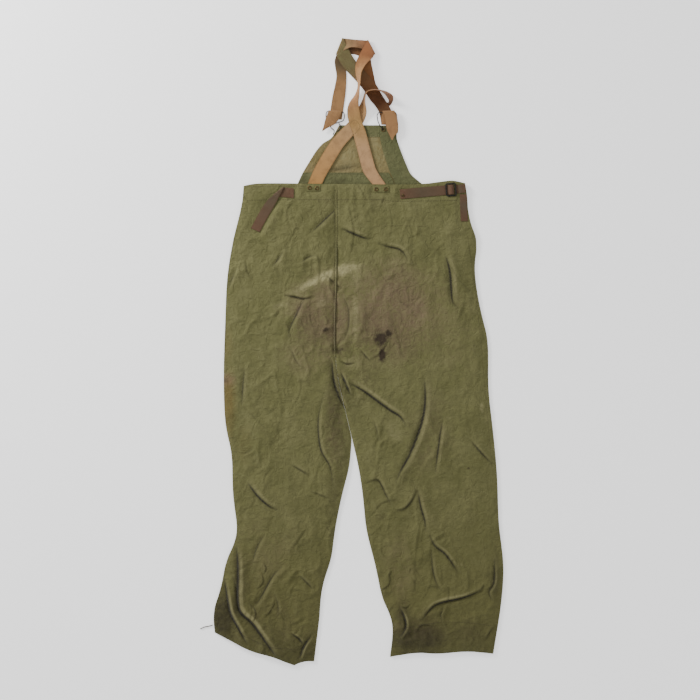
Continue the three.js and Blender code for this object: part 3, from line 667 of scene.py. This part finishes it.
def clothGrid(node, spacing):
    # a closely spaced net over a CAD panel: places in plan, triangles, distance from the cut edge
    joined = mergedCopy(node)
    outline = outlineOf(joined, spacing)
    low, high = outline.min(0), outline.max(0)
    rowGap = spacing * math.sqrt(3) / 2
    inner = []
    for row in range(int((high[1] - low[1]) / rowGap) + 1):
        xs = np.arange(low[0] + (row % 2) * spacing / 2, high[0], spacing)
        inner.append(np.column_stack([xs, np.full(len(xs), low[1] + row * rowGap)]))
    inner = np.concatenate(inner)
    inner = inner[insideOf(inner, outline)]
    rim = KDTree(len(outline))
    for i, (x, y) in enumerate(outline):
        rim.insert((x, y, 0), i)
    rim.balance()
    fromEdge = np.array([rim.find((x, y, 0))[2] for x, y in inner])
    clear = fromEdge > 0.6 * spacing
    inner, fromEdge = inner[clear], fromEdge[clear]
    points = np.concatenate([outline, inner])
    count = len(outline)
    edges = [(i, (i + 1) % count) for i in range(count)]
    placed, _, faces, origins, _, _ = delaunay_2d_cdt([Vector(p) for p in points], edges, [], 1, 1e-7)
    edgeDistance = np.concatenate([np.zeros(count), fromEdge])
    xy = np.array([tuple(p) for p in placed])
    distance = np.array([edgeDistance[o[0]] if o else 0.0 for o in origins])
    joined.faces.ensure_lookup_table()
    bvh = BVHTree.FromBMesh(joined)
    z = np.zeros(len(xy))
    for i, (x, y) in enumerate(xy):
        hit = bvh.ray_cast((x, y, 0.1), (0, 0, -1))[0]
        if hit is None:
            hit = bvh.find_nearest((x, y, 0.02))[0]
        z[i] = hit.z
    top = sum(f.calc_area() for f in upperFaces(joined))
    joined.free()
    return xy, z, faces, distance, top


def smoothed(values, faces, rounds):
    triangles = np.array(faces)
    a = np.concatenate([triangles[:, 0], triangles[:, 1], triangles[:, 2]])
    b = np.concatenate([triangles[:, 1], triangles[:, 2], triangles[:, 0]])
    degree = np.bincount(a, minlength=len(values)) + np.bincount(b, minlength=len(values))
    for _ in range(rounds):
        around = np.bincount(a, values[b], len(values)) + np.bincount(b, values[a], len(values))
        values = 0.4 * values + 0.6 * around / np.maximum(degree, 1)
    return values


def rumple(xy, seed, wave, depth):
    # unevenness of slept-in cotton, from seeded noise: soft swells and a net of sharp, thin ridges
    out = np.zeros(len(xy))
    for i, (x, y) in enumerate(xy):
        p = Vector((x / wave, 0.72 * y / wave, seed))
        bend = noise.noise(p * 0.6 + Vector((7.1, 3.3, 0)))
        q = p + Vector((bend, -bend, 0)) * 0.7
        swell = noise.noise(q) + 0.45 * noise.noise(q * 2.1)
        wideNet = max(0.0, 1 - 3.4 * abs(noise.noise(q * 0.62 + Vector((3.7, 9.2, 1.5))))) ** 2
        closeNet = max(0.0, 1 - 3.4 * abs(noise.noise(q * 1.25 + Vector((5.3, 1.1, 6.4))))) ** 2
        where = 0.55 + 0.9 * noise.noise(p * 0.35 + Vector((2.2, 8.8, 3.1)))
        out[i] = 0.8 * swell + max(0.15, where) * (1.15 * wideNet + 0.65 * closeNet)
    return out * depth


def setField(mesh, name, values):
    field = mesh.attributes.new(name, "FLOAT", "POINT")
    field.data.foreach_set("value", np.asarray(values, np.float32))


def makeCloth(name, spec, marks, creases):
    node = spec["node"]
    xy, z, faces, distance, area = clothGrid(node, spec["spacing"] * mm)
    base = smoothed(z, faces, spec["smoothing"])
    place = np.column_stack([xy, base])
    lift, paintedFoldShadeField, wearAndHighlightField = np.zeros(len(xy)), np.zeros(len(xy)), np.zeros(len(xy))
    addCreases(place, creases, lift, paintedFoldShadeField, wearAndHighlightField)
    lift += spec["loft"] * mm * np.clip(distance / (25 * mm), 0, 1) ** 0.7
    lift += rumple(xy, spec["seed"], spec["wave"] * mm, spec["rumple"] * mm)
    lift *= np.clip(distance / (7 * mm), 0.25, 1) * spec["height"]
    free = np.ones(len(xy))
    if spec.get("under"):
        for other in spec["under"]:
            bvh = BVHTree.FromPolygons([v.co for v in nodes[other].data.vertices],
                                       [p.vertices for p in nodes[other].data.polygons])
            low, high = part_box(other)
            near = np.where((xy[:, 0] > low.x - 0.02) & (xy[:, 0] < high.x + 0.02)
                            & (xy[:, 1] > low.y - 0.02) & (xy[:, 1] < high.y + 0.02))[0]
            for i in near:
                gap = bvh.find_nearest((xy[i, 0], xy[i, 1], base[i]))[3]
                free[i] = min(free[i], max(0.0, min(1.0, (gap - 0.002) / 0.012)))
    lift = np.where(lift > 0, lift * free, lift)
    if spec["facesDown"]:
        low = np.clip(np.abs(lift), 0, spec["mostLift"] * mm)
        surface = np.column_stack([xy, low])
        faces = [f[::-1] for f in faces]
    else:
        surface = np.column_stack([xy, np.clip(base + lift, spec["lowest"] * mm, base + spec["mostLift"] * mm)])
    piece = newObject(name, surface, faces)
    mesh = piece.data
    # fold holds painted crease shade; wear_and_highlight holds a painted highlight on ridges, partly rubbed pale
    setField(mesh, "fold", np.clip(paintedFoldShadeField, 0, 1))
    setField(mesh, "wear_and_highlight", np.clip(wearAndHighlightField, 0, 1))
    for mark in ("brown", "grime", "dark", "pale", "yellow", "hem_dirt_and_shade"):
        setField(mesh, mark, stainField(place, marks.get(mark, [])))
    lowness = (seatTone["lightAbove"] - xy[:, 1] / mm) / (seatTone["lightAbove"] - seatTone["darkBelow"])
    setField(mesh, "low", np.clip(lowness, 0, 1) if spec["tones"] else np.zeros(len(xy)))
    wall = piece.modifiers.new("wall", "SOLIDIFY")
    wall.thickness = spec["thickness"] * mm
    wall.offset = -1
    applyModifiers(piece)
    shadeSmooth(piece, 60)
    finishPiece(piece, spec["material"], spec["slot"], node)
    low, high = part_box(node)
    print(name, len(mesh.polygons), "faces, area", round(area, 3))
    return piece


lyingOnBack = ["adjuster_left", "adjuster_right", "buckle_tab", "side_band", "root_patch_left",
               "root_patch_right", "adjuster_rivet"]
backSpec = {"spacing": 3.3, "smoothing": 26, "loft": 1.6, "seed": 3, "wave": 36, "rumple": 1.9, "height": 1.35,
            "under": lyingOnBack, "facesDown": False, "lowest": 3.2, "mostLift": 10, "tones": True,
            "thickness": 1.1, "material": outerCloth, "slot": "cloth"}
allBackCreases = [crease for group in backCreases.values() for crease in group]
wholeBack = (-350, 375, -800, 430)
allBackCreases += strewnCreases(11, wholeBack, 260, (45, 150), (0.6, 1.5), (5, 12), lean=1.7)
allBackCreases += strewnCreases(12, wholeBack, 330, (24, 70), (0.4, 1.0), (3.5, 7))
allBackCreases += strewnCreases(13, (-180, 190, -40, 240), 100, (24, 75), (0.6, 1.3), (3.5, 7))
allBackCreases += strewnCreases(14, (-340, 360, -790, -560), 130, (20, 70), (1.0, 2.4), (4, 9), lean=1.2)
backPieces = [
    makeCloth("back_left_cloth", {**backSpec, "node": "back_left", "restsOn": ["front_left"]}, stains, allBackCreases),
    makeCloth("back_right_cloth", {**backSpec, "node": "back_right", "restsOn": ["front_right"]}, stains,
              allBackCreases),
]

frontSpec = {**backSpec, "spacing": 6.5, "facesDown": True, "mostLift": 0.35, "thickness": 1.2, "under": None,
             "slot": "cloth_inside", "height": 0.25, "loft": 0, "smoothing": 4}
frontCreases = strewnCreases(21, wholeBack, 160, (40, 130), (0.8, 2.2), (8, 16), lean=1.5)
frontStains = {"hem_dirt_and_shade": [((-300, -740), (120, 60), 0, 0.6), ((230, -750), (140, 50), 0, 0.6)],
               "brown": [((-170, -260), (60, 110), 0, 0.6), ((180, -250), (70, 120), 0, 0.6)],
               "dark": [((-120, 80), (14, 18), 0, 0.8), ((210, -60), (10, 14), 0, 0.7)]}
for side in ("left", "right"):
    makeCloth(f"front_{side}_cloth", {**frontSpec, "node": f"front_{side}", "restsOn": ["floor"]}, frontStains,
              frontCreases)

bibCreases = [
    ([(80, 500), (96, 487), (116, 503)], 1.2, 7, "fold"), ([(96, 473), (112, 472), (126, 473)], 1.0, 6, "fold"),
    ([(-75, 470), (-40, 478), (0, 484)], 1.4, 7, "fold"), ([(40, 560), (48, 530), (46, 505)], 0.8, 7, "ridge"),
    ([(50, 470), (66, 462), (84, 448)], 1.4, 6, "fold"), ([(-30, 545), (-22, 515), (-34, 492)], 0.8, 8, "ridge"),
    ([(-110, 500), (-96, 520), (-80, 540)], 1.0, 8, "ridge"), ([(20, 500), (26, 480), (24, 465)], 0.8, 6, "ridge"),
]
bibStains = {"pale": [((52, 520), (16, 45), 15, 0.5), ((-20, 510), (30, 30), 0, 0.4)],
             "brown": [((-100, 480), (30, 40), 0, 0.4)], "hem_dirt_and_shade": [((-40, 478), (50, 8), 8, 0.7),
             ((-50, 442), (26, 12), 0, 0.6), ((-142, 450), (14, 26), 20, 0.5)]}
smallSpec = {**backSpec, "smoothing": 0, "loft": 0, "wave": 26, "rumple": 0.12, "height": 0.18, "under": None,
             "lowest": 0, "mostLift": 0.2, "tones": False}
makeCloth("bib_cloth", {**smallSpec, "node": "bib", "spacing": 3, "thickness": 1.3, "material": innerCloth,
                        "slot": "cloth_inside", "restsOn": ["floor"]}, bibStains, bibCreases)
for facing in ("bib_facing_top", "bib_facing_side", "waist_casing"):
    makeCloth(f"{facing}_cloth", {**smallSpec, "node": facing, "spacing": 2.6, "thickness": 0.9,
                                  "material": facingCloth, "restsOn": ["bib"]}, bibStains, bibCreases)
print("cloth laid")


# Straps, rebuilt from the long edges of the CAD webbing

def railsOf(node, root):
    # the strap's two edges, walked ring by ring from the end nearest its root
    joined = mergedCopy(node)
    corners = sorted((v for v in joined.verts if len(v.link_edges) <= 5), key=lambda v: (v.co - root).length)[:4]
    top = corners[0]
    under = min(corners[1:], key=lambda v: (v.co - top.co).length)
    others = [v for v in corners[1:] if v is not under]
    farTop, farUnder = min((others, others[::-1]),
                           key=lambda pair: ((under.co - top.co) - (pair[1].co - pair[0].co)).length)
    def between(a, b):
        return min(joined.verts, key=lambda v: (v.co - (a.co + b.co) / 2).length)
    ring = [top, between(top, farTop), farTop, farUnder, between(under, farUnder), under]
    seen, rings = set(ring), [ring]
    while True:
        ahead = {e.other_vert(v) for v in ring for e in v.link_edges} - seen
        if len(ahead) < 6:
            break
        ring = matched(ring, ahead)
        seen |= ahead
        rings.append(ring)
    place = [[np.array(v.co) for v in r] for r in rings]
    joined.free()
    return (np.array([(r[0] + r[5]) / 2 for r in place]), np.array([(r[2] + r[3]) / 2 for r in place]))


def matched(before, ahead):
    # each point's follower in the next ring, the ones with a single choice settled first
    choices = {v: {e.other_vert(v) for e in v.link_edges} & ahead for v in before}
    follower = {}
    while choices:
        point = min(choices, key=lambda v: len(choices[v]))
        follower[point] = min(choices.pop(point), key=lambda v: (v.co - point.co).length)
        for rest in choices.values():
            rest.discard(follower[point])
    return [follower[v] for v in before]


strapLook = {"columns": 12, "perStation": 3, "ripple": 0.28}


def makeStrap(name, node, root, thickness, material, slot):
    left, right = railsOf(node, Vector(root) * mm)
    edges = [smoothStations(side, strapLook["perStation"]) for side in (left, right)]
    left, right = edges
    middle = (left + right) / 2
    run = np.concatenate([[0], np.cumsum(np.linalg.norm(np.diff(middle, axis=0), axis=1))])
    rows, columns = len(left), strapLook["columns"] + 1
    ahead = np.gradient(middle, axis=0)
    across = right - left
    normal = np.cross(across, ahead)
    normal /= np.maximum(np.linalg.norm(normal, axis=1, keepdims=True), 1e-9)
    vertices, share = [], np.linspace(0, 1, columns)
    half = thickness / 2 * mm
    edgeRound = 1 - (np.abs(2 * share - 1)) ** 8 * 0.45
    for face in (1, -1):
        for i in range(rows):
            for s, rounding in zip(share, edgeRound):
                p = left[i] + across[i] * s
                wobble = noise.noise(Vector((run[i] * 45, s * 1.5, 4.0))) * strapLook["ripple"] * mm
                vertices.append(p + normal[i] * (face * half * rounding + wobble * 0.4))
    faces = []
    layer = rows * columns
    for i in range(rows - 1):
        for j in range(columns - 1):
            a = i * columns + j
            faces.append((a, a + 1, a + columns + 1, a + columns))
            faces.append((layer + a, layer + a + columns, layer + a + columns + 1, layer + a + 1))
    for i in range(rows - 1):
        for j in (0, columns - 1):
            a = i * columns + j
            quad = (a, a + columns, layer + a + columns, layer + a)
            faces.append(quad if j == 0 else quad[::-1])
    for i in (0, rows - 1):
        for j in range(columns - 1):
            a = i * columns + j
            quad = (a, a + 1, layer + a + 1, layer + a)
            faces.append(quad[::-1] if i == 0 else quad)
    piece = newObject(name, vertices, faces)
    mesh = piece.data
    repair = bmesh.new()
    repair.from_mesh(mesh)
    bmesh.ops.recalc_face_normals(repair, faces=repair.faces)
    repair.to_mesh(mesh)
    repair.free()
    setField(mesh, "distance", np.tile(np.repeat(run, columns), 2))
    layout = mesh.uv_layers.new(name="run")
    spot = np.array([(s, d / run[-1]) for d in run for s in share])
    spot = np.concatenate([spot, spot])
    order = np.array([loop.vertex_index for loop in mesh.loops])
    layout.data.foreach_set("uv", spot[order].ravel())
    shadeSmooth(piece, 60)
    finishPiece(piece, material, slot, node)
    return piece, left, right, run


def smoothStations(points, per):
    p = np.concatenate([[2 * points[0] - points[1]], points, [2 * points[-1] - points[-2]]])
    walked = []
    for a, b, c, d in zip(p, p[1:], p[2:], p[3:]):
        for t in np.arange(per) / per:
            walked.append(0.5 * (2 * b + (c - a) * t + (2 * a - 5 * b + 4 * c - d) * t**2
                                 + (3 * b - a - 3 * c + d) * t**3))
    return np.array([*walked, p[-2]])


braceLeft = makeStrap("brace_left_webbing", "brace_left", (-124, 414, 4), 1.5, braceLeftWeb, "webbing")
braceRight = makeStrap("brace_right_webbing", "brace_right", (62, 416, 4), 1.5, braceRightWeb, "webbing")
makeStrap("adjuster_left_tape", "adjuster_left", (-168, 410, 8), 1.5, tapeBrown, "dark_webbing")
makeStrap("adjuster_right_tape", "adjuster_right", (107, 405, 8), 1.5, tapeBrown, "dark_webbing")
makeStrap("buckle_tab_tape", "buckle_tab", (252, 423, 8), 1.5, tapeBrown, "dark_webbing")
makeStrap("side_band_tape", "side_band", (272, 411, 7), 0.8, tapeBrown, "dark_webbing")
print("straps laid")


# Stitching, each seam one joined array of short threads that lie on the cloth

seams = {
    "waistTop": {"route": [(-288, 428), (-150, 430), (-140, 430)], "side": "left", "thread": "olive"},
    "waistUnder": {"route": [(-290, 392), (-200, 394), (-66, 394)], "side": "left", "thread": "dark"},
    "waistUnderRight": {"route": [(-54, 394), (60, 394), (100, 390), (258, 392)], "side": "right", "thread": "dark"},
    "yoke": {"route": [(40, 325), (110, 327), (175, 324)], "side": "right", "thread": "olive"},
    "cuffRight": {"route": [(112, -718), (160, -710), (220, -702), (290, -704), (345, -712)], "side": "right",
                  "thread": "dark"},
    "hemRight": {"route": [(96, -782), (180, -780), (260, -782), (338, -780)], "side": "right", "thread": "dark"},
    "cuffLeft": {"route": [(-362, -690), (-300, -735), (-230, -765), (-150, -775)], "side": "left",
                 "thread": "dark"},
    "outsideLeft": {"route": [(-318, 330), (-338, 200), (-346, 60), (-342, -60)], "side": "left", "thread": "olive"},
    "outsideRight": {"route": [(283, 300), (302, 160), (318, 20), (330, -120), (346, -300)], "side": "right",
                     "thread": "olive"},
}
stitch = {"length": 3.2, "gap": 1.3, "thread": 0.42, "raise": 0.16}
threads = {"dark": darkThread, "olive": oliveThread, "red": redThread}


def stitchLine(name, route, on, material, longer=1.0):
    surface = BVHTree.FromPolygons([on.matrix_world @ v.co for v in on.data.vertices],
                                   [p.vertices for p in on.data.polygons])
    line = smoothLine(route, 4) * mm
    spans = np.linalg.norm(np.diff(line, axis=0), axis=1)
    run = np.concatenate([[0], np.cumsum(spans)])
    pitch = (stitch["length"] * longer + stitch["gap"]) * mm
    vertices, faces, sides = [], [], 5
    for start in np.arange(0, run[-1] - pitch, pitch):
        rings = []
        for share in (0.0, 0.25, 0.75, 1.0):
            reach = start + share * stitch["length"] * longer * mm
            x, y = np.interp(reach, run, line[:, 0]), np.interp(reach, run, line[:, 1])
            hit = surface.ray_cast(Vector((x, y, 0.1)), Vector((0, 0, -1)))[0]
            if hit is None:
                break
            sink = -stitch["thread"] * 0.7 * mm if share in (0.0, 1.0) else stitch["raise"] * mm
            rings.append(Vector((x, y, hit.z + sink)))
        if len(rings) < 4:
            continue
        forward = (rings[-1] - rings[0]).normalized()
        beside = forward.cross(Vector((0, 0, 1))).normalized()
        first = len(vertices)
        for ring in rings:
            for k in range(sides):
                angle = 2 * math.pi * k / sides
                vertices.append(ring + (beside * math.cos(angle) + Vector((0, 0, 1)) * math.sin(angle))
                                * stitch["thread"] * mm)
        for r in range(3):
            for k in range(sides):
                a, b = first + r * sides + k, first + r * sides + (k + 1) % sides
                faces.append((a, a + sides, b + sides, b))
        faces.append(tuple(first + k for k in range(sides)))
        faces.append(tuple(first + 3 * sides + k for k in reversed(range(sides))))
    if not faces:
        return None
    piece = newObject(name, vertices, faces)
    shadeSmooth(piece, 60)
    finishPiece(piece, material, None)
    return piece


# The felled seam down the centre back, a narrow raised band over the join of the two panels

fell = {"width": 9, "raise": 0.35, "crown": 0.5, "from": 430, "to": -16, "step": 5, "columns": 7}


def makeFell():
    surfaces = [BVHTree.FromPolygons([v.co for v in b.data.vertices], [f.vertices for f in b.data.polygons])
                for b in backPieces]
    joinEdge = np.array([tuple(v.co) for v in backPieces[0].data.vertices]) / mm
    vertices, faces = [], []
    shares = np.linspace(-0.5, 0.5, fell["columns"])
    heights = np.arange(fell["from"], fell["to"], -fell["step"])
    for y in heights:
        close = joinEdge[np.abs(joinEdge[:, 1] - y) < 4]
        middle = close[:, 0].max() + 0.2
        for share in shares:
            x = middle + share * fell["width"]
            found = [b.ray_cast(Vector((x * mm, y * mm, 0.1)), Vector((0, 0, -1)))[0] for b in surfaces]
            z = max((f.z for f in found if f), default=0.008)
            crown = fell["crown"] * (1 - (2 * share) ** 2)
            vertices.append((x * mm, y * mm, z + (fell["raise"] + crown) * mm))
    count = fell["columns"]
    for r in range(len(heights) - 1):
        for c in range(count - 1):
            a = r * count + c
            faces.append((a, a + count, a + count + 1, a + 1))
    band = newObject("centre_back_fell", vertices, faces)
    place = np.array(vertices)
    for mark in ("brown", "grime", "dark", "pale", "yellow", "hem_dirt_and_shade"):
        setField(band.data, mark, stainField(place, stains.get(mark, [])))
    # painted highlight along the band's crown, partly rubbed pale, and painted shade along its two edges
    crownWearAndHighlight = np.tile(np.exp(-((shares - 0.1) / 0.16) ** 2) * 0.5, len(heights))
    setField(band.data, "wear_and_highlight", crownWearAndHighlight)
    setField(band.data, "fold", np.tile(np.where(np.abs(shares) > 0.45, 0.55, 0.0), len(heights)))
    setField(band.data, "low", np.zeros(len(vertices)))
    wall = band.modifiers.new("wall", "SOLIDIFY")
    wall.thickness = 0.5 * mm
    wall.offset = -1
    applyModifiers(band)
    shadeSmooth(band, 60)
    finishPiece(band, outerCloth, "cloth")
    return band


fellPiece = makeFell()
for name, spec in seams.items():
    on = backPieces[0] if spec["side"] == "left" else backPieces[1]
    stitchLine(f"stitches_{name}", spec["route"], on, threads[spec["thread"]])
shown = {o.name: o for o in bpy.context.scene.objects}
fellTop = np.array([tuple(v.co) for v in fellPiece.data.vertices]) / mm
for name, aside in (("left", -3), ("right", 3)):
    route = []
    for y in range(420, -10, -30):
        across = fellTop[np.abs(fellTop[:, 1] - y) < 3.5, 0]
        route.append(((across.min() + across.max()) / 2 + aside, y))
    stitchLine(f"stitches_centre_back_{name}", route, fellPiece, darkThread)
stitchLine("stitches_casing", [(-80, 461), (-40, 462), (12, 461)], shown["waist_casing_cloth"], darkThread, 2.2)
stitchLine("stitches_facing", [(-40, 561), (10, 561), (50, 561)], shown["bib_facing_top_cloth"], oliveThread)
crossing = [(-12, 562), (-26, 582), (-10, 601), (4, 583), (-12, 562)]
stitchLine("stitches_crossing", crossing, shown["brace_right_webbing"], oliveThread)
boxStitch = [(-180, 405), (-171, 404), (-171, 418), (-180, 419), (-180, 405)]
stitchLine("stitches_adjuster_left", boxStitch, shown["adjuster_left_tape"], redThread)
stitchLine("stitches_adjuster_right", [(120, 399), (120, 414), (110, 414)], shown["adjuster_right_tape"], redThread)
print("stitched")


# Floor, light and air around it

studio = {"floor": "#ffffff", "glow": 0.6, "air": 0.76, "key": 104, "fill": 5}


def makeStudio():
    floor = newObject("floor", [(-6, -6, 0), (6, -6, 0), (6, 6, 0), (-6, 6, 0)], [(0, 1, 2, 3)])
    floor.location.z = -0.0004
    # Matt white backing paper, lit from behind
    material, _, shader = newMaterial("backingPaper", studio["floor"], Roughness=0.9)
    shader.inputs["Emission Color"].default_value = linear(studio["floor"])
    shader.inputs["Emission Strength"].default_value = studio["glow"]
    floor.data.materials.append(material)
    world = bpy.data.worlds.new("studioAir")
    world.use_nodes = True
    world.node_tree.nodes["Background"].inputs["Color"].default_value = (1, 1, 1, 1)
    world.node_tree.nodes["Background"].inputs["Strength"].default_value = studio["air"]
    bpy.context.scene.world = world
    for name, place, size, energy in (("key", (-2.3, 1.8, 1.15), 0.7, studio["key"]),
                                      ("fill", (1.6, -1.4, 2.4), 2.4, studio["fill"])):
        data = bpy.data.lights.new(name, "AREA")
        data.size = size
        data.energy = energy
        light = bpy.data.objects.new(name, data)
        bpy.context.scene.collection.objects.link(light)
        light.location = place
        light.rotation_mode = "QUATERNION"
        light.rotation_quaternion = (-Vector(place)).to_track_quat("-Z", "Y")


makeStudio()


# Metal and small pieces keep their CAD shape, smoothed

def finerCopy(node, name, material, slot, bevel=0, rounds=0, swell=0):
    joined = mergedCopy(node)
    for v in joined.verts:
        v.co += v.normal * swell * mm
    mesh = bpy.data.meshes.new(name)
    joined.to_mesh(mesh)
    joined.free()
    piece = bpy.data.objects.new(name, mesh)
    bpy.context.scene.collection.objects.link(piece)
    if bevel:
        edge = piece.modifiers.new("edge", "BEVEL")
        edge.width = bevel * mm
        edge.segments = 2
        edge.limit_method = "ANGLE"
        edge.angle_limit = math.radians(50)
    if rounds:
        smooth = piece.modifiers.new("smooth", "SUBSURF")
        smooth.levels = rounds
        smooth.render_levels = rounds
    applyModifiers(piece)
    shadeSmooth(piece, 50)
    finishPiece(piece, material, slot, node)
    return piece


for node in ("clip_left", "clip_right", "hook_left_outer", "hook_left_inner"):
    finerCopy(node, f"{node}_wire", darkMetal, "dark_metal", swell=0.22)
for node in ("bib_eyelet", "root_eyelet_left_1", "root_eyelet_left_2", "root_eyelet_right_1",
             "root_eyelet_right_2", "adjuster_rivet"):
    finerCopy(node, f"{node}_metal", dullBrass, "dull_brass")
finerCopy("adjuster_buckle", "adjuster_buckle_metal", darkMetal, "dark_metal", bevel=0.5)
for side in ("left", "right"):
    finerCopy(f"root_patch_{side}", f"root_patch_{side}_cloth", outerCloth, "dark_webbing", bevel=0.25)

print("scene ready")
